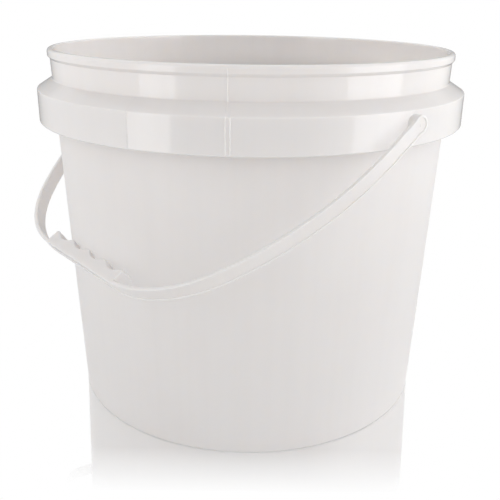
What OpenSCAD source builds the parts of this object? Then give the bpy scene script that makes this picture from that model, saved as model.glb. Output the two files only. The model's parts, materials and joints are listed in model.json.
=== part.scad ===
// Ten-litre plastic fermenting bucket with a swing handle.
//
// The body is one open, tapered moulding: foot ring, floor, wall, hollow skirt, neck and lip.
// The handle is a second moulding, a U-shaped strap with a finger grip. A stud at each
// end snaps into a hole in the skirt, and the handle swings on the two studs.
//
// Origin: centre of the foot ring, on the ground. +Z points up. The hinge line lies along X,
// and the handle hangs down on the -Y side, resting against the wall.

/* [Body] */
// Height from the ground to the top of the lip
body_h = 231; // [225:1:245]
// Outside radius of the lip, where the lid snaps on
lip_r = 130; // [129.5:0.1:131]
// Outside radius of the wall at the ground
base_r = 120.1; // [119:0.1:120.6]
// How much the wall's radius grows for each millimetre of height
wall_taper = 0.0375; // [0.035:0.0005:0.039]
// Wall thickness
wall_t = 2; // [1.6:0.1:2.4]
// Floor thickness
floor_t = 2.4; // [1.8:0.1:3.2]
// Height of the floor's underside above the ground
foot_h = 3; // [1.5:0.5:5]
// Width of the foot ring that stands on the ground
foot_w = 3.2; // [2.5:0.1:6]

/* [Lip and neck] */
// Height of the lip bead, which stands out from the wall
lip_h = 6; // [5:0.5:8]
// Radius of the rounding over the top of the lip
lip_round = 2; // [1.5:0.1:2.4]
// Height of the neck between the lip and the shoulder
neck_h = 12; // [10:0.2:14]

/* [Skirt] */
// Outside radius of the skirt
skirt_r = 137.7; // [137:0.1:138.5]
// Height of the skirt's outer face
skirt_h = 19.7; // [18:0.1:24]
// Drop of the sloping shoulder between the neck and the skirt
shoulder_h = 6.1; // [5:0.1:7]
// Number of stiffening ribs hidden inside the skirt
rib_count = 24; // [8:4:36]
// Thickness of each rib
rib_t = 1.4; // [1:0.1:2]

/* [Handle] */
// Reach of the handle, from the hinge line to the outside of the grip
handle_reach = 161.2; // [161:0.1:163]
// Distance from the centre of the body to the outside of each arm, at the hinge
arm_x = 143.5; // [143:0.5:148]
// Width of the strap
strap_w = 9.6; // [8:0.2:9.8]
// Thickness of the strap
strap_t = 2.6; // [2.2:0.1:2.8]
// How far the handle hangs below level at rest, in degrees
droop = 35; // [30:0.1:35.1]
// Radius of the tight bend at each end of the grip
grip_bend_r = 85; // [80:1:88]
// Angle turned by the tight bend, in degrees
grip_bend_angle = 53; // [50:1:56]
// Radius of the gentle bend in each arm
arm_bend_r = 176; // [165:1:182]

/* [Grip] */
// Distance from one finger hollow to the next
finger_pitch = 21; // [20:0.1:21.5]
// Depth of the finger hollows
finger_depth = 3; // [1.5:0.1:3.2]
// Depth of the grip, from the strap to the crests between fingers
grip_depth = 7.7; // [6.5:0.1:7.8]
// How far the grip sits off the middle of the handle, towards +X
grip_shift = 2.5; // [0:0.5:3]

/* [Hinge] */
// Depth of the hinge line below the top of the lip
hinge_drop = 31.2; // [30.6:0.1:32]
// Radius of each stud
stud_r = 3.2; // [2.5:0.1:3.4]
// Radial running clearance between a stud and its hole
stud_gap = 0.05; // [0.02:0.01:0.1]

/* [Hidden] */
$fn = 180;
arc_step = 3;
eps = 0.01;
natural_white = [0.93, 0.925, 0.92];

// Heights of the body's edges, from the top down
lip_bottom_z = body_h - lip_h;
neck_bottom_z = lip_bottom_z - neck_h;
skirt_top_z = neck_bottom_z - shoulder_h;
skirt_bottom_z = skirt_top_z - skirt_h;
hinge_z = body_h - hinge_drop;

// Lip: its land is the short upright face between the rounding and the underside
lip_under_h = 1.6;
lip_inner_round = 0.8;

// Roundings of the body
foot_round = 1.2;
floor_corner_r = 4;
skirt_edge_round = 0.9;
neck_round = 1;
rib_rise = 4;

// Hinge: the barb keeps the stud in its hole
hole_r = stud_r + stud_gap;
boss_gap = 0.4;
barb_r = stud_r + 0.9;
barb_tip_r = stud_r - 0.6;
barb_len = 3.4;
barb_gap = 0.3;
barb_slot_w = 1.2;
barb_slot_len = 5;
skirt_inner_r = skirt_r - wall_t;

// Handle: recess in the strap's outer face, the rims left round it, and the round ends
recess_depth = 0.7;
rim_w = 1.3;
end_r = 5.3;
finger_count = 4;
grip_end_len = 2.2;
grip_end_r = 1.2;
grip_end_lean = 3.6;
grip_gap = 0.3;

// Outside radius of the wall at height z
function wall_r(z) = base_r + wall_taper * z;

// Point at an angle on a circle
function on_circle(centre, r, angle) = centre + r * [cos(angle), sin(angle)];

// ---------------------------------------------------------------- body

// Unit vector from one point towards another
function toward(from, to) = (to - from) / norm(to - from);

// Piece between a corner and the arc of radius r that touches both of the corner's sides.
// The sides run from the corner towards the points along_a and along_b. Taken away from a
// solid's corner it rounds the corner, and added to a hollow corner it fills it.
module corner_piece(corner, along_a, along_b, r) {
    side_a = toward(corner, along_a);
    side_b = toward(corner, along_b);
    middle = toward([0, 0], side_a + side_b);
    half_angle = acos(side_a * side_b) / 2;
    centre = corner + middle * r / sin(half_angle);
    touch = r / tan(half_angle);
    difference() {
        polygon([corner - eps * middle, corner + side_a * touch, centre, corner + side_b * touch]);
        translate(centre) circle(r);
    }
}

// Half section of the wall, floor and foot ring, without lip or skirt
module shell_section() {
    floor_top_z = foot_h + floor_t;
    floor_corner = [wall_r(floor_top_z) - wall_t, floor_top_z];
    inner_top = [wall_r(body_h) - wall_t, body_h];
    foot_corner = [wall_r(0), 0];
    outer_top = [wall_r(body_h - lip_round), body_h - lip_round];
    difference() {
        polygon([[0, 0], foot_corner, outer_top, [0, body_h - lip_round]]);
        // the inside of the bucket
        polygon([[-eps, floor_top_z], floor_corner, inner_top, [-eps, body_h]]);
        // the hollow under the floor
        translate([-eps, -eps]) square([base_r - foot_w + eps, foot_h + eps]);
        corner_piece(foot_corner, [0, 0], outer_top, foot_round);
    }
    corner_piece(floor_corner, [0, floor_top_z], inner_top, floor_corner_r);
}

// Half section of the lip: an upright land with a rounded top and a sloping underside
module lip_section() {
    root = [wall_r(lip_bottom_z), lip_bottom_z];
    inner_bottom = root - [wall_t, 0];
    inner_top = [wall_r(body_h) - wall_t, body_h];
    land_bottom = [lip_r, lip_bottom_z + lip_under_h];
    land_top = [lip_r, body_h];
    difference() {
        polygon([inner_bottom, root, land_bottom, land_top, inner_top]);
        corner_piece(land_top, land_bottom, inner_top, lip_round);
        corner_piece(inner_top, inner_bottom, land_top, lip_inner_round);
    }
}

// Half section of the shoulder and the skirt: an upside-down channel, open at the bottom
module skirt_section() {
    neck_foot = [wall_r(neck_bottom_z), neck_bottom_z];
    skirt_top = [skirt_r, skirt_top_z];
    skirt_bottom = [skirt_r, skirt_bottom_z];
    shoulder_t = wall_t * norm(skirt_top - neck_foot) / (skirt_top - neck_foot)[0];
    difference() {
        polygon([
            neck_foot - [wall_t / 2, 0],
            neck_foot,
            skirt_top,
            skirt_bottom,
            skirt_bottom - [wall_t, 0],
            skirt_top - [wall_t, shoulder_t],
            neck_foot - [wall_t / 2, shoulder_t]
        ]);
        corner_piece(skirt_top, neck_foot, skirt_bottom, skirt_edge_round);
        corner_piece(skirt_bottom, skirt_top, [0, skirt_bottom_z], skirt_edge_round);
        corner_piece(skirt_bottom - [wall_t, 0], skirt_top - [wall_t, 0], skirt_bottom, skirt_edge_round);
    }
    corner_piece(neck_foot, [wall_r(body_h), body_h], skirt_top, neck_round);
}

// One upright rib between the wall and the skirt, at the side facing +X
module skirt_rib() {
    bottom_z = skirt_bottom_z + rib_rise;
    top_z = skirt_top_z - wall_t / 2;
    inner_x = wall_r(bottom_z) - wall_t / 2;
    outer_x = skirt_r - wall_t / 2;
    translate([inner_x, -rib_t / 2, bottom_z])
        cube([outer_x - inner_x, rib_t, top_z - bottom_z]);
}

// Everything at one end of the hinge is made at +X and repeated at -X
module at_both_ends() {
    for (side = [0, 1]) mirror([side, 0, 0]) children();
}

// Round bar of length len that starts at the origin and runs along +X
module axle_bar(r, len) {
    rotate([0, 90, 0]) cylinder(r = r, h = len);
}

module bucket() {
    color(natural_white) difference() {
        union() {
            rotate_extrude() {
                shell_section();
                lip_section();
                skirt_section();
            }
            for (i = [0 : rib_count - 1])
                rotate((i + 0.5) * 360 / rib_count) skirt_rib();
        }
        at_both_ends() translate([skirt_inner_r - wall_t, 0, hinge_z])
            axle_bar(hole_r, 3 * wall_t);
    }
}

// ---------------------------------------------------------------- handle
// The handle is drawn flat, with its arms along +Y from the hinge line, and then hung.

// Points along an arc, without the first one, so that arcs can follow each other
function arc_on(centre, r, from, to) =
    let (steps = ceil(abs(to - from) / arc_step))
    [for (i = [1 : steps]) on_circle(centre, r, from + (to - from) * i / steps)];

// The same points on the other side of the handle, in the opposite order
function mirrored(points) = [for (i = [len(points) - 1 : -1 : 0]) [-points[i][0], points[i][1]]];

function reversed(points) = [for (i = [len(points) - 1 : -1 : 0]) points[i]];

// Right half of the bail's curve, set in from the strap's outer face by inset
function bail_side(inset) =
    let (
        turn = 90 - grip_bend_angle,
        bend_end_x = arm_x - arm_bend_r * (1 - cos(turn)),
        bend_end_y = handle_reach - grip_bend_r * (1 - sin(turn)),
        arm_centre = [arm_x - arm_bend_r, bend_end_y - arm_bend_r * sin(turn)],
        grip_centre = [bend_end_x - grip_bend_r * cos(turn), handle_reach - grip_bend_r]
    )
    concat(
        [[arm_x - inset, 0], arm_centre + [arm_bend_r - inset, 0]],
        arc_on(arm_centre, arm_bend_r - inset, 0, turn),
        arc_on(grip_centre, grip_bend_r - inset, turn, 90)
    );

// The whole bail curve, from the right end of the hinge line to the left end
function bail_curve(inset) = concat(bail_side(inset), mirrored(bail_side(inset)));

// Band that follows the bail between two insets, centred on its width
module bail_band(outer_inset, inner_inset, width) {
    linear_extrude(height = width, center = true)
        polygon(concat(bail_curve(outer_inset), reversed(bail_curve(inner_inset))));
}

// Outline of the grip: crests and finger hollows are arcs that meet smoothly. The ends lean out
// over the strap, as stops for the first and last finger.
module grip_outline() {
    crest_y = handle_reach - strap_t - grip_depth;
    root_y = handle_reach - strap_t / 2;
    half_wave = finger_pitch / 2;
    wave_angle = 2 * atan(finger_depth / half_wave);
    both_radii = half_wave / sin(wave_angle);
    crest_r = both_radii / 4;
    hollow_r = both_radii - crest_r;
    last_crest_x = finger_count * half_wave;
    half_len = last_crest_x + grip_end_len;
    // one finger hollow and the crests' halves on both sides of it, centred on x
    function finger(x) = concat(
        arc_on([x - half_wave, crest_y + crest_r], crest_r, -90, wave_angle - 90),
        arc_on([x, crest_y + finger_depth - hollow_r], hollow_r, 90 + wave_angle, 90 - wave_angle),
        arc_on([x + half_wave, crest_y + crest_r], crest_r, -90 - wave_angle, -90)
    );
    polygon(concat(
        [[grip_end_lean - half_len, root_y], [-half_len, crest_y + grip_end_r]],
        arc_on([grip_end_r - half_len, crest_y + grip_end_r], grip_end_r, 180, 270),
        [[-last_crest_x, crest_y]],
        [for (x = [half_wave - last_crest_x : finger_pitch : last_crest_x]) each finger(x)],
        [[half_len - grip_end_r, crest_y]],
        arc_on([half_len - grip_end_r, crest_y + grip_end_r], grip_end_r, 270, 360),
        [[half_len - grip_end_lean, root_y]]
    ));
}

module grip() {
    translate([grip_shift, 0, 0])
        linear_extrude(height = strap_w, center = true) grip_outline();
}

// Strap with its round ends, which reach in to the skirt, and the shallow outer recess
module strap() {
    end_x = skirt_r + boss_gap;
    difference() {
        union() {
            bail_band(0, strap_t, strap_w);
            at_both_ends() translate([end_x, 0, 0]) axle_bar(end_r, arm_x - end_x);
        }
        bail_band(-1, recess_depth, strap_w - 2 * rim_w);
        at_both_ends() translate([arm_x - recess_depth, 0, 0]) axle_bar(end_r - rim_w, 1);
    }
}

// Stud with its slotted barb
module snap_stud() {
    root_x = arm_x - strap_t / 2;
    barb_tip_x = skirt_inner_r - barb_gap - barb_len;
    difference() {
        translate([barb_tip_x, 0, 0]) {
            axle_bar(stud_r, root_x - barb_tip_x);
            rotate([0, 90, 0]) cylinder(r1 = barb_tip_r, r2 = barb_r, h = barb_len);
        }
        translate([barb_tip_x - eps, -barb_r, -barb_slot_w / 2])
            cube([barb_slot_len, 2 * barb_r, barb_slot_w]);
    }
}

// Room taken by the wall and a small gap round it
module wall_room() {
    cylinder(r1 = wall_r(0) + grip_gap, r2 = wall_r(skirt_bottom_z) + grip_gap, h = skirt_bottom_z);
}

// The inside of the grip is shaped to the wall that it rests against
module handle() {
    color(natural_white) difference() {
        translate([0, 0, hinge_z]) rotate([180 + droop, 0, 0]) {
            strap();
            grip();
            at_both_ends() snap_stud();
        }
        wall_room();
    }
}

bucket();
handle();
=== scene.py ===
"""Looks of the ten-litre fermenting bucket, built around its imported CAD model.

Both mouldings are rebuilt in finer mesh here, with their small roundings, rims and mould lines,
and stand for the CAD nodes of the same names. Lengths are in millimetres in the shapes, up to the
making of each mesh, and in metres in the materials, camera and studio.
"""

import json
import math

import bmesh
import bpy
from mathutils import Matrix, Vector


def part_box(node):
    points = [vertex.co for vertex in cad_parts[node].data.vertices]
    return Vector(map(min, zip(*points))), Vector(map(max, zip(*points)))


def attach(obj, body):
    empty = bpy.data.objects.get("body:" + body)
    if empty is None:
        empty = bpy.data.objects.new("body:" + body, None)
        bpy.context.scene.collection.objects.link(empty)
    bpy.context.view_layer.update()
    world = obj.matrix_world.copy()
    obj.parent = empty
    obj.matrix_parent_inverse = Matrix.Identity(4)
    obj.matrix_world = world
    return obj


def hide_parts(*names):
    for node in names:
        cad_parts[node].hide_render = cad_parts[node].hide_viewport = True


MM = 0.001

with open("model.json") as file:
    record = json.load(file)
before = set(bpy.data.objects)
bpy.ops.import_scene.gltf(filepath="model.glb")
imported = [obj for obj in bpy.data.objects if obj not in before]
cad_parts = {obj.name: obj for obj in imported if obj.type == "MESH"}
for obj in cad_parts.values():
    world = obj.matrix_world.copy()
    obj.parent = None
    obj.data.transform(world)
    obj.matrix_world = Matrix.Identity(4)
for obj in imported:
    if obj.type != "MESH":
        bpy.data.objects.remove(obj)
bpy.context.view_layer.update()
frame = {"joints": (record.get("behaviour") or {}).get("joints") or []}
bucket_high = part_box("bucket")[1]
handle_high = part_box("handle")[1]
hinge = frame["joints"][0]

# ---------------------------------------------------------------- dimensions, in millimetres

BODY_H = bucket_high.z / MM
SKIRT_R = bucket_high.x / MM
ARM_X = handle_high.x / MM
HINGE_Z = hinge["pos_m"][2] / MM

# Body
BASE_R = 120.1
WALL_TAPER = 0.0375
WALL_T = 2.0
FLOOR_T = 2.4
FOOT_H = 3.0
FOOT_W = 3.2
LIP_R = 130.0
LIP_H = 6.0
LIP_UNDER_H = 1.6
LIP_TOP_R = 2.0
NECK_H = 12.0
SHOULDER_H = 6.1
SKIRT_H = 19.7
RIB_COUNT = 24
RIB_T = 1.4
RIB_RISE = 4.0
HOLE_R = 3.25
ARC_STEPS = 8
TOUCH = 0.01
LONGEST_PIECE = 12

LIP_BOTTOM_Z = BODY_H - LIP_H
NECK_BOTTOM_Z = LIP_BOTTOM_Z - NECK_H
SKIRT_TOP_Z = NECK_BOTTOM_Z - SHOULDER_H
SKIRT_BOTTOM_Z = SKIRT_TOP_Z - SKIRT_H
FLOOR_TOP_Z = FOOT_H + FLOOR_T
SKIRT_INNER_R = SKIRT_R - WALL_T

# Mould lines: places round the body, in degrees from the hinge line, and their raised profile.
# Each line is repeated on the other side of the body.
FULL_LINE = -43.8
SKIRT_LINES = (-42.8, -65.9)
LINE_HALF_W = 0.45
LINE_H = 0.28
LINE_TURNS = (0, 180)

# Handle
STRAP_W = 9.6
STRAP_T = 2.6
DROOP = 35.0
REACH = 161.2
GRIP_BEND_R = 85.0
GRIP_BEND_ANGLE = 53.0
ARM_BEND_R = 176.0
END_R = 5.3
RIM_W = 1.3
RECESS_DEPTH = 0.7
FINGER_PITCH = 21.0
FINGER_DEPTH = 3.0
FINGER_COUNT = 4
GRIP_DEPTH = 7.7
GRIP_SHIFT = 2.5
GRIP_END_LEN = 2.2
GRIP_END_R = 1.2
GRIP_END_LEAN = 3.6
LEAN_FADE = 9.0
GRIP_GAP = 0.3
BOSS_R = 5.22
BOSS_GAP = 0.4
STUD_R = 3.2
BARB_R = 4.1
BARB_TIP_R = 2.6
BARB_LEN = 3.4
BARB_GAP = 0.3
BARB_SLOT_W = 1.2
BARB_SLOT_LEN = 5.0
GATE_MARK_R = 0.95
GATE_MARK_DEPTH = 0.42

# ---------------------------------------------------------------- outlines


def rounded(corners, steps):
    """Polyline through corners (x, y, radius). A corner with a radius becomes an arc of so many steps."""
    points = [Vector(corner[:2]) for corner in corners]
    line = []
    for i, (corner, radius) in enumerate(zip(points, [c[2] for c in corners])):
        if radius == 0:
            line.append(corner)
            continue
        back = (points[i - 1] - corner).normalized()
        ahead = (points[i + 1] - corner).normalized()
        half_angle = back.angle(ahead) / 2
        centre = corner + (back + ahead).normalized() * radius / math.sin(half_angle)
        start = corner + back * radius / math.tan(half_angle) - centre
        end = corner + ahead * radius / math.tan(half_angle) - centre
        turn = math.atan2(start.x * end.y - start.y * end.x, start.dot(end))
        for step in range(steps + 1):
            angle = turn * step / steps
            line.append(centre + Matrix.Rotation(angle, 2) @ start)
    return line


def split_long(line, longest):
    """The same polyline with points added so that no piece of it is longer than longest."""
    made = [line[0]]
    for a, b in zip(line, line[1:]):
        count = max(1, math.ceil((b - a).length / longest))
        made.extend(a.lerp(b, (i + 1) / count) for i in range(count))
    return made


def crossing(a, b, c, d):
    """Where the line through a and b crosses the line through c and d."""
    ab, cd, ac = b - a, d - c, c - a
    share = (ac.x * cd.y - ac.y * cd.x) / (ab.x * cd.y - ab.y * cd.x)
    return a + ab * share


# ---------------------------------------------------------------- meshes


def new_object(name, mesh):
    made = bpy.data.objects.new(name, mesh)
    bpy.context.scene.collection.objects.link(made)
    return made


def loft(name, columns, place=Matrix.Identity(4)):
    """Closed mesh through a ring of columns. Points that columns share, such as a pole, become one."""
    mesh = bpy.data.meshes.new(name)
    work = bmesh.new()
    grid = [[work.verts.new(place @ point * MM) for point in column] for column in columns]
    for column, following in zip(grid, grid[1:] + grid[:1]):
        for i in range(len(column) - 1):
            work.faces.new((column[i], following[i], following[i + 1], column[i + 1]))
    bmesh.ops.remove_doubles(work, verts=work.verts, dist=1e-4 * MM)
    bmesh.ops.recalc_face_normals(work, faces=work.faces)
    work.to_mesh(mesh)
    work.free()
    return new_object(name, mesh)


def revolve(name, line, place=Matrix.Identity(4), columns=64):
    """Closed mesh of revolution about Z. The line of (radius, height) starts and ends on the axis."""
    ring = []
    for i in range(columns):
        angle = 2 * math.pi * i / columns
        ring.append([Vector((p.x * math.cos(angle), p.x * math.sin(angle), p.y)) for p in line])
    return loft(name, ring, place)


def block(name, size, place):
    """Box of the given size centred on the place, with slightly rounded edges."""
    work = bmesh.new()
    bmesh.ops.create_cube(work, size=1)
    bmesh.ops.scale(work, vec=Vector(size), verts=work.verts)
    bmesh.ops.bevel(work, geom=work.edges[:], offset=min(size) * 0.2, segments=3, profile=0.5, affect="EDGES")
    work.transform(Matrix.Scale(MM, 4) @ place)
    mesh = bpy.data.meshes.new(name)
    work.to_mesh(mesh)
    work.free()
    return new_object(name, mesh)


def combine(target, tools, operation):
    """Joins the tools to the target, or cuts them from it, and deletes them."""
    for tool in tools:
        boolean = target.modifiers.new(tool.name, "BOOLEAN")
        boolean.operation = operation
        boolean.solver = "EXACT"
        boolean.object = tool
    bpy.context.view_layer.update()
    finished = target.evaluated_get(bpy.context.evaluated_depsgraph_get())
    mesh = bpy.data.meshes.new_from_object(finished)
    target.modifiers.clear()
    target.data = mesh
    for tool in tools:
        bpy.data.objects.remove(tool)


def smooth(piece, sharp_angle=32):
    """Smooth shading that keeps wide faces flat and breaks only at sharp edges."""
    piece.data.shade_smooth()
    piece.data.set_sharp_from_angle(angle=math.radians(sharp_angle))
    weighted = piece.modifiers.new("even_normals", "WEIGHTED_NORMAL")
    weighted.keep_sharp = True


# ---------------------------------------------------------------- bucket


def wall_r(z):
    return BASE_R + WALL_TAPER * z


def body_outline():
    """Half section of the body, from the underside's middle, round the outside, to the floor's middle."""
    neck_foot = Vector((wall_r(NECK_BOTTOM_Z), NECK_BOTTOM_Z))
    skirt_top = Vector((SKIRT_R, SKIRT_TOP_Z))
    shoulder = skirt_top - neck_foot
    shoulder_drop = Vector((0, WALL_T * shoulder.length / shoulder.x))
    inner_neck_foot = neck_foot - Vector((WALL_T / 2, 0)) - shoulder_drop
    inner_skirt_top = skirt_top - Vector((WALL_T, 0)) - shoulder_drop
    pocket_top = crossing(inner_neck_foot, inner_skirt_top, Vector((wall_r(0), 0)), neck_foot)
    corners = [
        (0, FOOT_H, 0),
        (BASE_R - FOOT_W, FOOT_H, 0.6),
        (BASE_R - FOOT_W, 0, 0.6),
        (BASE_R, 0, 1.2),
        (pocket_top.x, pocket_top.y, 0.6),
        (inner_skirt_top.x, inner_skirt_top.y, 0.6),
        (SKIRT_INNER_R, SKIRT_BOTTOM_Z, 0.9),
        (SKIRT_R, SKIRT_BOTTOM_Z, 0.9),
        (SKIRT_R, SKIRT_TOP_Z, 0.9),
        (neck_foot.x, neck_foot.y, 1.0),
        (wall_r(LIP_BOTTOM_Z), LIP_BOTTOM_Z, 0.5),
        (LIP_R, LIP_BOTTOM_Z + LIP_UNDER_H, 0.5),
        (LIP_R, BODY_H, LIP_TOP_R),
        (wall_r(BODY_H) - WALL_T, BODY_H, 0.8),
        (wall_r(FLOOR_TOP_Z) - WALL_T, FLOOR_TOP_Z, 4.0),
        (0, FLOOR_TOP_Z, 0),
    ]
    return split_long(rounded(corners, ARC_STEPS), LONGEST_PIECE)


def mould_line_height(angle, z):
    """How far the mould lines raise the outside of the skirt, neck and lip at this place."""
    height = 0
    on_skirt = z < SKIRT_TOP_Z + SHOULDER_H / 4
    for turn in LINE_TURNS:
        for place in (FULL_LINE,) + (SKIRT_LINES if on_skirt else ()):
            away = (angle - place - turn + 180) % 360 - 180
            across = math.radians(away) * SKIRT_R / LINE_HALF_W
            if abs(across) < 1:
                height = LINE_H * (1 + math.cos(math.pi * across)) / 2
    return height


def body_angles(count=360):
    """Angles of the body's columns: evenly spaced, with a few more across each mould line."""
    angles = {360 * i / count for i in range(count)}
    for turn in LINE_TURNS:
        for place in (FULL_LINE,) + SKIRT_LINES:
            for i in range(-3, 4):
                offset = math.degrees(LINE_HALF_W * i / 3 / SKIRT_R)
                angles.add((place + turn + offset) % 360)
    return sorted(angles)


def lined_part(line):
    """Range of the outline's points that the mould lines raise, from the skirt's foot to the lip's top."""
    lip_top_z = BODY_H - LIP_TOP_R
    start = min(i for i, (r, z) in enumerate(line) if r > SKIRT_R - TOUCH)
    end = min(i for i, (r, z) in enumerate(line)
              if i > start and r > LIP_R - TOUCH and z > lip_top_z - TOUCH)
    return range(start, end + 1)


def make_body():
    line = body_outline()
    lined = lined_part(line)
    columns = []
    for angle in body_angles():
        direction = Vector((math.cos(math.radians(angle)), math.sin(math.radians(angle))))
        column = []
        for i, (r, z) in enumerate(line):
            if i in lined:
                r += mould_line_height(angle, z)
            column.append(Vector((r * direction.x, r * direction.y, z)))
        columns.append(column)
    return loft("bucket_body", columns)


def make_ribs():
    bottom_z = SKIRT_BOTTOM_Z + RIB_RISE
    top_z = SKIRT_TOP_Z - WALL_T / 2
    inner_r = wall_r(bottom_z) - WALL_T / 2
    outer_r = SKIRT_R - WALL_T / 2
    size = (outer_r - inner_r, RIB_T, top_z - bottom_z)
    middle = Matrix.Translation(((outer_r + inner_r) / 2, 0, (top_z + bottom_z) / 2))
    return [block(f"rib_{i}", size, Matrix.Rotation(2 * math.pi * (i + 0.5) / RIB_COUNT, 4, "Z") @ middle)
            for i in range(RIB_COUNT)]


def hinge_place(side, x):
    """Turns a shape drawn about Z so that its Z runs inwards along the hinge line from x."""
    inwards = Matrix.Rotation(math.radians(-90 * side), 4, "Y")
    return Matrix.Translation((side * x, 0, HINGE_Z)) @ inwards


def make_hole_cutters():
    line = [Vector(p) for p in ((0, -WALL_T), (HOLE_R, -WALL_T), (HOLE_R, 2 * WALL_T), (0, 2 * WALL_T))]
    return [revolve(f"hole_{side}", line, hinge_place(side, SKIRT_R), 96) for side in (1, -1)]


bucket = make_body()
combine(bucket, make_ribs(), "UNION")
combine(bucket, make_hole_cutters(), "DIFFERENCE")
smooth(bucket)

# ---------------------------------------------------------------- handle
# Drawn flat, with its arms along +Y from the hinge line and its width along Z, and then hung.

CREST_DEPTH = STRAP_T + GRIP_DEPTH
GRIP_HALF_LEN = FINGER_COUNT * FINGER_PITCH / 2 + GRIP_END_LEN
TURN = math.radians(90 - GRIP_BEND_ANGLE)
BEND_END = Vector((ARM_X - ARM_BEND_R * (1 - math.cos(TURN)), REACH - GRIP_BEND_R * (1 - math.sin(TURN))))
ARM_CENTRE = Vector((ARM_X - ARM_BEND_R, BEND_END.y - ARM_BEND_R * math.sin(TURN)))
GRIP_CENTRE = Vector((BEND_END.x - GRIP_BEND_R * math.cos(TURN), REACH - GRIP_BEND_R))
SIN_DROOP = math.sin(math.radians(DROOP))
COS_DROOP = math.cos(math.radians(DROOP))

END_STATIONS = (0, 0.6, 1.2, 1.8, 2.25, 3, 4.5, 7, 10, 14, 18)
BEND_STEPS = 40
GRIP_BEND_STEPS = 42
END_STEPS = 24
INNER_STEPS = 10
GRIP_END_STEPS = 6
STEPS_PER_FINGER = 36
WALL_ROUNDS = 8


def grip_depth(x):
    """Depth of the grip at x from its middle: crests and hollows are arcs that meet smoothly."""
    half_wave = FINGER_PITCH / 2
    wave_angle = 2 * math.atan(FINGER_DEPTH / half_wave)
    both_radii = half_wave / math.sin(wave_angle)
    crest_r = both_radii / 4
    hollow_r = both_radii - crest_r
    from_crest = abs((x + half_wave) % FINGER_PITCH - half_wave)
    if from_crest < crest_r * math.sin(wave_angle):
        return CREST_DEPTH - crest_r + math.sqrt(crest_r ** 2 - from_crest ** 2)
    from_hollow = half_wave - from_crest
    return CREST_DEPTH - FINGER_DEPTH + hollow_r - math.sqrt(hollow_r ** 2 - from_hollow ** 2)


def half_section(half_w, depth):
    """Half section as (across, inwards), from the middle of the outer recess to that of the inner face."""
    rim = half_w - RIM_W
    outline = rounded([
        (0, RECESS_DEPTH, 0),
        (rim * 0.6, RECESS_DEPTH, 0),
        (rim, RECESS_DEPTH, 0.3),
        (rim, 0, 0.2),
        (half_w, 0, 0.45),
        (half_w, depth, 0.9),
        (0, depth, 0),
    ], 5)
    corner, middle = outline[-2:]
    inner_face = [corner.lerp(middle, (i + 1) / INNER_STEPS) for i in range(INNER_STEPS)]
    return outline[:-1] + inner_face


def wall_depth(x, across):
    """Depth under the strap's outer face at which the grip would come too near the wall.

    The wall's radius depends on that depth, so each round works it out from the one before.
    """
    depth = GRIP_DEPTH
    for _ in range(WALL_ROUNDS):
        z = HINGE_Z - SIN_DROOP * (REACH - depth) - COS_DROOP * across
        y = math.sqrt((wall_r(z) + GRIP_GAP) ** 2 - x ** 2)
        depth = REACH - (y + SIN_DROOP * across) / COS_DROOP
    return depth


def strap_half_w(y):
    """Half the strap's width, which follows the round end near the hinge line."""
    return max(STRAP_W / 2, math.sqrt(max(0, END_R ** 2 - y ** 2)))


def bail_at(x):
    """Point of the strap's outer face at x, near the grip, and the angle of the outward direction."""
    angle = math.acos(max(0, abs(x) - GRIP_CENTRE.x) / GRIP_BEND_R)
    point = Vector((x, GRIP_CENTRE.y + GRIP_BEND_R * math.sin(angle)))
    return point, angle if x > 0 else math.pi - angle


def arm_stations(grip_end):
    """Stations of the right arm, down to the grip's end: (outer face point, outward angle, half width)."""
    stations = [(Vector((ARM_X, y)), 0, strap_half_w(y)) for y in END_STATIONS]
    last_angle = math.acos(max(0, grip_end - GRIP_CENTRE.x) / GRIP_BEND_R)
    for centre, radius, first, last, steps in (
        (ARM_CENTRE, ARM_BEND_R, 0, TURN, BEND_STEPS),
        (GRIP_CENTRE, GRIP_BEND_R, TURN, last_angle, GRIP_BEND_STEPS),
    ):
        for i in range(steps):
            angle = first + (last - first) * i / steps
            outward = Vector((math.cos(angle), math.sin(angle)))
            stations.append((centre + radius * outward, angle, STRAP_W / 2))
    return stations


def grip_profile():
    """(distance from the grip's middle, depth) pairs from one end of the grip to its middle."""
    profile = []
    for i in range(GRIP_END_STEPS + 1):
        angle = math.radians(90 * i / GRIP_END_STEPS)
        x = GRIP_HALF_LEN - GRIP_END_R * (1 - math.cos(angle))
        depth = CREST_DEPTH - GRIP_END_R * (1 - math.sin(angle))
        profile.append((x, depth))
    for i in range(FINGER_COUNT * STEPS_PER_FINGER // 2, -1, -1):
        x = FINGER_PITCH * i / STEPS_PER_FINGER
        profile.append((x, grip_depth(x)))
    return profile


def under(point, angle, inwards, across):
    """Point of the flat handle so far inwards from a point of the outer face, and so far across."""
    return Vector((point.x - inwards * math.cos(angle), point.y - inwards * math.sin(angle), across))


def arm_column(station, side):
    point, angle, half_w = station
    section = half_section(half_w, STRAP_T)
    return [under(point, angle, inwards, side * across) for across, inwards in section]


def grip_column(from_middle, depth, side):
    """Half section of the grip. Its ends lean out over the strap, and its inside keeps clear of the wall."""
    made = []
    from_end = GRIP_HALF_LEN - abs(from_middle)
    end_height = CREST_DEPTH - GRIP_END_R - STRAP_T
    for across, inwards in half_section(STRAP_W / 2, depth):
        height = min(max((inwards - STRAP_T) / end_height, 0), 1)
        lean = GRIP_END_LEAN * (1 - height) * max(0, 1 - from_end / LEAN_FADE)
        x = GRIP_SHIFT + math.copysign(abs(from_middle) - lean, from_middle)
        point, angle = bail_at(x)
        inwards = min(inwards, wall_depth(x, side * across))
        made.append(under(point, angle, inwards, side * across))
    return made


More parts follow.
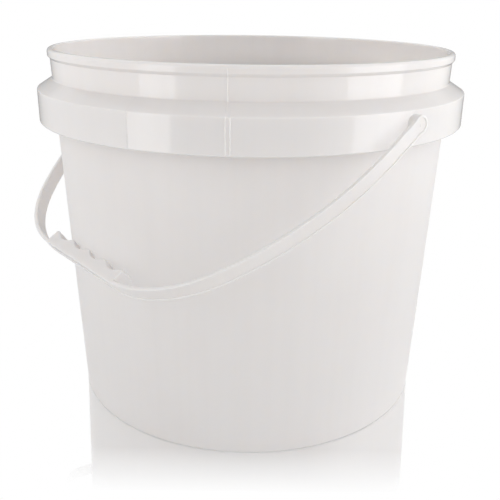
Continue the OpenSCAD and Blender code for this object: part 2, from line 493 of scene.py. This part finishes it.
def strap_columns(side):
    """Half sections all along the bail, from the right end of the hinge line to the left end."""
    root = GRIP_HALF_LEN - GRIP_END_LEAN
    profile = grip_profile()
    columns = [arm_column(station, side) for station in arm_stations(root + GRIP_SHIFT)]
    columns += [grip_column(x, depth, side) for x, depth in profile]
    columns += [grip_column(-x, depth, side) for x, depth in profile[-2::-1]]
    for point, angle, half_w in arm_stations(root - GRIP_SHIFT)[::-1]:
        columns.append(arm_column((Vector((-point.x, point.y)), math.pi - angle, half_w), side))
    return columns


def end_column(side, angle):
    """Half section turned about the hinge line, away from the strap."""
    return [Vector((side * (ARM_X - inwards), -across * math.sin(angle), side * across * math.cos(angle)))
            for across, inwards in half_section(END_R, STRAP_T)]


def round_end(side):
    return [end_column(side, math.pi * (END_STEPS - i) / END_STEPS) for i in range(1, END_STEPS)]


def make_strap(place):
    columns = strap_columns(1) + round_end(-1) + strap_columns(-1)[::-1] + round_end(1)
    return loft("handle_bail", columns, place)


def make_stud(side, place):
    """Boss, stud and barb at one end. A small gate mark stands in the middle of the outer recess."""
    boss_face = ARM_X - SKIRT_R - BOSS_GAP
    barb_base = ARM_X - SKIRT_INNER_R + BARB_GAP
    barb_tip = barb_base + BARB_LEN
    root = STRAP_T / 2
    line = rounded([
        (0, GATE_MARK_DEPTH, 0),
        (GATE_MARK_R - 0.15, GATE_MARK_DEPTH + 0.06, 0.2),
        (GATE_MARK_R, root, 0),
        (BOSS_R, root, 0),
        (BOSS_R, boss_face, 0.5),
        (STUD_R, boss_face, 0.3),
        (STUD_R, barb_base, 0),
        (BARB_R, barb_base, 0.15),
        (BARB_TIP_R, barb_tip, 0.5),
        (0, barb_tip, 0),
    ], 5)
    inwards = Matrix.Rotation(math.radians(-90 * side), 4, "Y")
    return revolve(f"stud_{side}", line, place @ Matrix.Translation((side * ARM_X, 0, 0)) @ inwards, 72)


def make_slot_cutter(side, place):
    barb_tip_x = SKIRT_INNER_R - BARB_GAP - BARB_LEN
    size = (BARB_SLOT_LEN * 2, 3 * BARB_R, BARB_SLOT_W)
    return block(f"slot_{side}", size, place @ Matrix.Translation((side * barb_tip_x, 0, 0)))


def make_handle():
    place = Matrix.Translation((0, 0, HINGE_Z)) @ Matrix.Rotation(math.radians(180 + DROOP), 4, "X")
    made = make_strap(place)
    combine(made, [make_stud(side, place) for side in (1, -1)], "UNION")
    combine(made, [make_slot_cutter(side, place) for side in (1, -1)], "DIFFERENCE")
    return made


handle = make_handle()
smooth(handle)

# ---------------------------------------------------------------- materials

DARKER_TONE = (0.862, 0.835, 0.824, 1)
LIGHTER_TONE = (0.878, 0.852, 0.842, 1)
STREAK_TONE = (0.80, 0.78, 0.77, 1)
SPECK_TONE = (0.42, 0.38, 0.34, 1)
PLASTIC_IOR = 1.49
LIGHT_DEPTH = 2.4 * MM

# Specks stand in the cells of a texture: the share of the cells that hold one, and its radius in cells
SPECK_CELLS = 38.0
SPECK_SHARE = 0.1
SPECK_R = 0.016

# Bump from the mould: the fine skin and the broad waves, as (noise frequency, depth), and the depth of
# the draw lines. Depths are in millimetres.
PEEL = (1400, 0.006)
WAVES = (60, 0.05)
DRAW_LINE_DEPTH = 0.006


def add(tree, kind, inputs=None, **settings):
    """New node with its settings and inputs. An input is a value or another node's output."""
    made = tree.nodes.new(kind)
    for key, value in settings.items():
        setattr(made, key, value)
    for key, value in (inputs or {}).items():
        if isinstance(value, bpy.types.NodeSocket):
            tree.links.new(value, made.inputs[key])
        else:
            made.inputs[key].default_value = value
    return made


def new_material(name):
    """Material with an empty node tree, and that tree."""
    made = bpy.data.materials.new(name)
    made.use_nodes = True
    made.node_tree.nodes.clear()
    return made, made.node_tree


def show(tree, kind, shader):
    """Links the shader to a new output node."""
    output = add(tree, kind)
    tree.links.new(shader, output.inputs["Surface"])


def maths(tree, operation, a, b):
    return add(tree, "ShaderNodeMath", {0: a, 1: b}, operation=operation).outputs[0]


def vector_maths(tree, operation, inputs):
    return add(tree, "ShaderNodeVectorMath", inputs, operation=operation).outputs


def spread(tree, value, low, high, to_low=0.0, to_high=1.0):
    """Maps low..high to to_low..to_high, smoothly and without going past the ends."""
    made = add(tree, "ShaderNodeMapRange", {
        "Value": value, "From Min": low, "From Max": high, "To Min": to_low, "To Max": to_high,
    }, interpolation_type="SMOOTHSTEP")
    return made.outputs[0]


def blend(tree, share, first, second):
    """Colour mixed from two colours."""
    made = add(tree, "ShaderNodeMix", {"Factor": share}, data_type="RGBA")
    for socket, value in ((made.inputs[6], first), (made.inputs[7], second)):
        if isinstance(value, bpy.types.NodeSocket):
            tree.links.new(value, socket)
        else:
            socket.default_value = value
    return made.outputs[2]


def noise(tree, vector, scale, detail=3.0, roughness=0.5):
    made = add(tree, "ShaderNodeTexNoise", {
        "Vector": vector, "Scale": scale, "Detail": detail, "Roughness": roughness,
    })
    return made.outputs[0]


def round_body(tree, x, y, z):
    """Coordinates that follow the wall: metres round it and metres up."""
    angle = maths(tree, "ARCTAN2", y, x)
    around = maths(tree, "MULTIPLY", angle, wall_r(BODY_H / 2) * MM)
    return add(tree, "ShaderNodeCombineXYZ", {0: around, 1: 0.0, 2: z}).outputs[0]


def stretched(tree, vector, scale):
    return add(tree, "ShaderNodeMapping", {"Vector": vector, "Scale": scale}).outputs[0]


def body_colour(tree, place, wrapped):
    """Broad mottling, long streaks along the flow, and rare dark specks."""
    mottling = spread(tree, noise(tree, place, 14, 4), 0.3, 0.7)
    streaks = spread(tree, noise(tree, stretched(tree, wrapped, (160, 1, 3)), 1), 0.35, 0.75, 0.0, 0.12)
    colour = blend(tree, mottling, DARKER_TONE, LIGHTER_TONE)
    colour = blend(tree, streaks, colour, STREAK_TONE)
    cells = add(tree, "ShaderNodeTexVoronoi", {"Vector": place, "Scale": SPECK_CELLS})
    lot = add(tree, "ShaderNodeSeparateColor", {0: cells.outputs["Color"]}).outputs[0]
    chosen = maths(tree, "GREATER_THAN", lot, 1 - SPECK_SHARE)
    spot = spread(tree, cells.outputs["Distance"], SPECK_R / 2, SPECK_R, 0.5, 0.0)
    return blend(tree, maths(tree, "MULTIPLY", chosen, spot), colour, SPECK_TONE)


def worn_roughness(tree, place, wrapped, skin):
    """Roughness of the skin, clouded by handling, with fine scuffs and rubbed edges."""
    clouds = noise(tree, place, 45, 4)
    scuffs = noise(tree, stretched(tree, wrapped, (30, 1, 520)), 1, 5, 0.65)
    edges = add(tree, "ShaderNodeNewGeometry").outputs["Pointiness"]
    skin = maths(tree, "ADD", skin, spread(tree, clouds, 0.35, 0.7, -0.02, 0.03))
    skin = maths(tree, "ADD", skin, spread(tree, scuffs, 0.62, 0.74, 0.0, 0.07))
    return maths(tree, "ADD", skin, spread(tree, edges, 0.54, 0.6, 0.0, 0.08))


def skin_normal(tree, place, wrapped):
    """Bump of the mould's fine skin and broad waves, and of faint draw lines up the wall."""
    draw_lines = noise(tree, stretched(tree, wrapped, (900, 1, 6)), 1, 2)
    layers = [(noise(tree, place, frequency, 2), depth) for frequency, depth in (PEEL, WAVES)]
    normal = None
    for height, depth in layers + [(draw_lines, DRAW_LINE_DEPTH)]:
        inputs = {"Height": height, "Strength": 1.0, "Distance": depth * MM}
        if normal is not None:
            inputs["Normal"] = normal
        normal = add(tree, "ShaderNodeBump", inputs).outputs[0]
    return normal


def partly_clear(tree, surface, passes):
    """The surface as the camera sees it. Indirect light and shadows also pass through a share of it."""
    ray = add(tree, "ShaderNodeLightPath").outputs
    indirect = maths(tree, "SUBTRACT", 1.0, ray["Is Camera Ray"])
    through = maths(tree, "MULTIPLY", indirect, passes)
    clear = add(tree, "ShaderNodeBsdfTransparent", {"Color": (1, 1, 1, 1)}).outputs[0]
    return add(tree, "ShaderNodeMixShader", {0: through, 1: surface, 2: clear}).outputs[0]


def plastic(name, passes, satin, gloss):
    """Natural moulded plastic that passes a share of the light.

    Satin is its roughness below the skirt, and gloss is its roughness from the skirt up.
    """
    made, tree = new_material(name)
    place = add(tree, "ShaderNodeTexCoord").outputs["Object"]
    x, y, z = add(tree, "ShaderNodeSeparateXYZ", {0: place}).outputs
    wrapped = round_body(tree, x, y, z)
    skin = spread(tree, z, (SKIRT_BOTTOM_Z - 1) * MM, (SKIRT_BOTTOM_Z + 1) * MM, satin, gloss)
    surface = add(tree, "ShaderNodeBsdfPrincipled", {
        "Base Color": body_colour(tree, place, wrapped),
        "Roughness": worn_roughness(tree, place, wrapped, skin),
        "IOR": PLASTIC_IOR,
        "Subsurface Weight": 1.0,
        "Subsurface Radius": (1.0, 0.94, 0.86),
        "Subsurface Scale": LIGHT_DEPTH,
        "Normal": skin_normal(tree, place, wrapped),
    }).outputs[0]
    show(tree, "ShaderNodeOutputMaterial", partly_clear(tree, surface, passes))
    return made


for piece, body, slot, finish in (
    (bucket, "bucket", "bucket_plastic", plastic("bucket_plastic", 0.3, 0.42, 0.08)),
    (handle, "handle", "handle_plastic", plastic("handle_plastic", 0.8, 0.34, 0.34)),
):
    piece.data.materials.clear()
    piece.data.materials.append(finish)
    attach(piece, body)
    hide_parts(body)

# ---------------------------------------------------------------- camera

# Fitted to the bucket's outlines: distances in metres, angles in radians, the lens in millimetres
CAMERA_AZIMUTH = math.radians(51.32)
CAMERA_DISTANCE = 0.4748
CAMERA_HEIGHT = 0.2633
CAMERA_PITCH = 0.354
CAMERA_YAW = 0.0018
CAMERA_ROLL = 0.0128
LENS = 49.93

ROUND_TO_CAMERA = Matrix.Rotation(CAMERA_AZIMUTH, 3, "Z")


def seen_from_camera(x, y, z):
    """Point given as metres to the camera's right, metres away from it past the axis, and height."""
    return ROUND_TO_CAMERA @ Vector((x, y, z))


def make_camera():
    data = bpy.data.cameras.new("camera")
    data.lens = LENS
    camera = new_object("camera", data)
    ahead = seen_from_camera(
        math.sin(CAMERA_YAW) * math.cos(CAMERA_PITCH),
        math.cos(CAMERA_YAW) * math.cos(CAMERA_PITCH),
        -math.sin(CAMERA_PITCH),
    )
    right = ahead.cross(Vector((0, 0, 1))).normalized()
    up = right.cross(ahead)
    tilted_right = math.cos(CAMERA_ROLL) * right + math.sin(CAMERA_ROLL) * up
    tilted_up = math.cos(CAMERA_ROLL) * up - math.sin(CAMERA_ROLL) * right
    turned = Matrix((tilted_right, tilted_up, -ahead)).transposed().to_4x4()
    camera.matrix_world = Matrix.Translation(seen_from_camera(0, -CAMERA_DISTANCE, CAMERA_HEIGHT)) @ turned
    data.clip_start = 0.02
    bpy.context.scene.camera = camera


make_camera()

# ---------------------------------------------------------------- studio

# Floor: its size and brightness, and the part that mirrors. Places on it are distances past the axis,
# along the camera's level view, and distances from the axis.
FLOOR_R = 0.8
FRONT_FLOOR = 0.7
BACK_FLOOR = 0.6
FRONT_PLACE = -0.3
BACK_PLACE = 0.1
MIRROR_SHARE = 0.8
MIRROR_START = -0.156
MIRROR_FULL = -0.116
MIRROR_R = 0.165
MIRROR_EDGE_R = 0.185
POLISH_ROUGHNESS = 0.03

SOFTBOX_LIGHT = 2.0
SOFTBOX_HEIGHT = 1.4
SOFTBOX_MIDDLE_Z = 0.35

# Broad soft lights, named by where they stand as the camera sees it. The side lights are the strong
# ones, and the fill comes equally from both sides of the camera.
RIGHT_LIGHT = 1.45
LEFT_LIGHT = 1.05
FILL_LIGHT = 0.55
BACK_LIGHT = 0.5
TOP_LIGHT = 0.35
LIGHT_EDGE = 0.3

# White backdrop that reflections see, fading in over these shares of a direction ahead and up
BACKDROP_AHEAD = (0.2, 0.4)
BACKDROP_UP = (0.28, 0.36)


def make_softbox(name, azimuth, distance, width, colour):
    """Upright softbox that faces the axis and shows only as a reflection.

    The azimuth is in degrees to the right of the camera.
    """
    data = bpy.data.lights.new(name, "AREA")
    data.shape = "RECTANGLE"
    data.size = width
    data.size_y = SOFTBOX_HEIGHT
    data.energy = SOFTBOX_LIGHT * math.pi * width * SOFTBOX_HEIGHT
    data.color = colour
    lamp = new_object(name, data)
    angle = math.radians(azimuth)
    spot = seen_from_camera(distance * math.sin(angle), -distance * math.cos(angle), SOFTBOX_MIDDLE_Z)
    aim = Vector((spot.x, spot.y, 0)).to_track_quat("Z", "Y")
    lamp.matrix_world = Matrix.Translation(spot) @ aim.to_matrix().to_4x4()
    lamp.visible_camera = False
    lamp.visible_diffuse = False


def along(tree, vector, axis):
    """Length of the vector along the axis, which has length one."""
    return vector_maths(tree, "DOT_PRODUCT", {0: vector, 1: axis})["Value"]


def studio_lights(tree, direction):
    """Brightness of the broad soft lights in this direction."""
    level = 0.0
    for place, brightness in (
        ((1, 0, 0), RIGHT_LIGHT),
        ((-1, 0, 0), LEFT_LIGHT),
        ((1, -1, 0), FILL_LIGHT),
        ((-1, -1, 0), FILL_LIGHT),
        ((0, 4, 3), BACK_LIGHT),
        ((0, 0, 1), TOP_LIGHT),
    ):
        aim = seen_from_camera(*place).normalized()
        light = spread(tree, along(tree, direction, aim), LIGHT_EDGE, 1.0, 0.0, brightness)
        level = maths(tree, "ADD", level, light)
    return level


def white_backdrop(tree, direction):
    """White in the directions that the floor mirrors past the bucket, as the photo's camera sees it."""
    ahead = spread(tree, along(tree, direction, seen_from_camera(0, 1, 0)), *BACKDROP_AHEAD)
    up = spread(tree, along(tree, direction, (0, 0, 1)), *BACKDROP_UP)
    return maths(tree, "MULTIPLY", ahead, up)


def make_world():
    """White to the camera. Other rays see the studio lights, and reflections also the backdrop."""
    world = bpy.data.worlds.new("studio")
    bpy.context.scene.world = world
    world.use_nodes = True
    tree = world.node_tree
    tree.nodes.clear()
    direction = add(tree, "ShaderNodeTexCoord").outputs["Generated"]
    ray = add(tree, "ShaderNodeLightPath").outputs
    unseen = maths(tree, "SUBTRACT", 1.0, ray["Is Camera Ray"])
    level = maths(tree, "MULTIPLY", studio_lights(tree, direction), unseen)
    level = maths(tree, "ADD", level, ray["Is Camera Ray"])
    backdrop = maths(tree, "MULTIPLY", white_backdrop(tree, direction), ray["Is Glossy Ray"])
    level = maths(tree, "MAXIMUM", level, backdrop)
    shade = add(tree, "ShaderNodeBackground", {"Color": (1, 1, 1, 1), "Strength": level})
    show(tree, "ShaderNodeOutputWorld", shade.outputs[0])


def past_axis(tree, position):
    """Distance past the bucket's axis, along the level view of whichever camera renders."""
    ahead = add(tree, "ShaderNodeVectorTransform", {0: (0.0, 0.0, 1.0)}, vector_type="VECTOR",
                convert_from="CAMERA", convert_to="WORLD").outputs[0]
    level = vector_maths(tree, "MULTIPLY", {0: ahead, 1: (1, 1, 0)})[0]
    level = vector_maths(tree, "NORMALIZE", {0: level})[0]
    return along(tree, position, level)


def floor_mirror(tree, position, past):
    """Share of the floor's look that mirrors: it starts in front of the bucket and ends round it."""
    ramp = add(tree, "ShaderNodeMapRange", {
        "Value": past, "From Min": MIRROR_START, "From Max": MIRROR_FULL,
        "To Min": 0.0, "To Max": MIRROR_SHARE,
    }).outputs[0]
    from_axis = vector_maths(tree, "LENGTH", {0: position})["Value"]
    return maths(tree, "MULTIPLY", ramp, spread(tree, from_axis, MIRROR_R, MIRROR_EDGE_R, 1.0, 0.0))


def floor_material():
    """White to the camera and lit for other rays, polished near the bucket, and clear from below."""
    made, tree = new_material("floor")
    geometry = add(tree, "ShaderNodeNewGeometry").outputs
    past = past_axis(tree, geometry["Position"])
    mirror = floor_mirror(tree, geometry["Position"], past)
    seen = add(tree, "ShaderNodeLightPath").outputs["Is Camera Ray"]
    lit = spread(tree, past, FRONT_PLACE, BACK_PLACE, FRONT_FLOOR, BACK_FLOOR)
    white = add(tree, "ShaderNodeEmission", {"Strength": maths(tree, "MAXIMUM", lit, seen)}).outputs[0]
    polish = add(tree, "ShaderNodeBsdfGlossy", {
        "Color": (1, 1, 1, 1), "Roughness": POLISH_ROUGHNESS,
    }).outputs[0]
    top = add(tree, "ShaderNodeMixShader", {0: mirror, 1: white, 2: polish}).outputs[0]
    clear = add(tree, "ShaderNodeBsdfTransparent").outputs[0]
    one_sided = add(tree, "ShaderNodeMixShader", {0: geometry["Backfacing"], 1: top, 2: clear})
    show(tree, "ShaderNodeOutputMaterial", one_sided.outputs[0])
    return made


def make_floor():
    work = bmesh.new()
    bmesh.ops.create_circle(work, cap_ends=True, segments=96, radius=FLOOR_R)
    mesh = bpy.data.meshes.new("floor")
    work.to_mesh(mesh)
    work.free()
    mesh.materials.append(floor_material())
    new_object("floor", mesh)


make_floor()
make_world()
make_softbox("left_softbox", -48.8, 1.585, 0.59, (1.0, 0.98, 0.97))
make_softbox("right_softbox", 67.9, 1.525, 0.96, (0.99, 0.98, 1.0))
bpy.context.scene.view_settings.view_transform = "Standard"
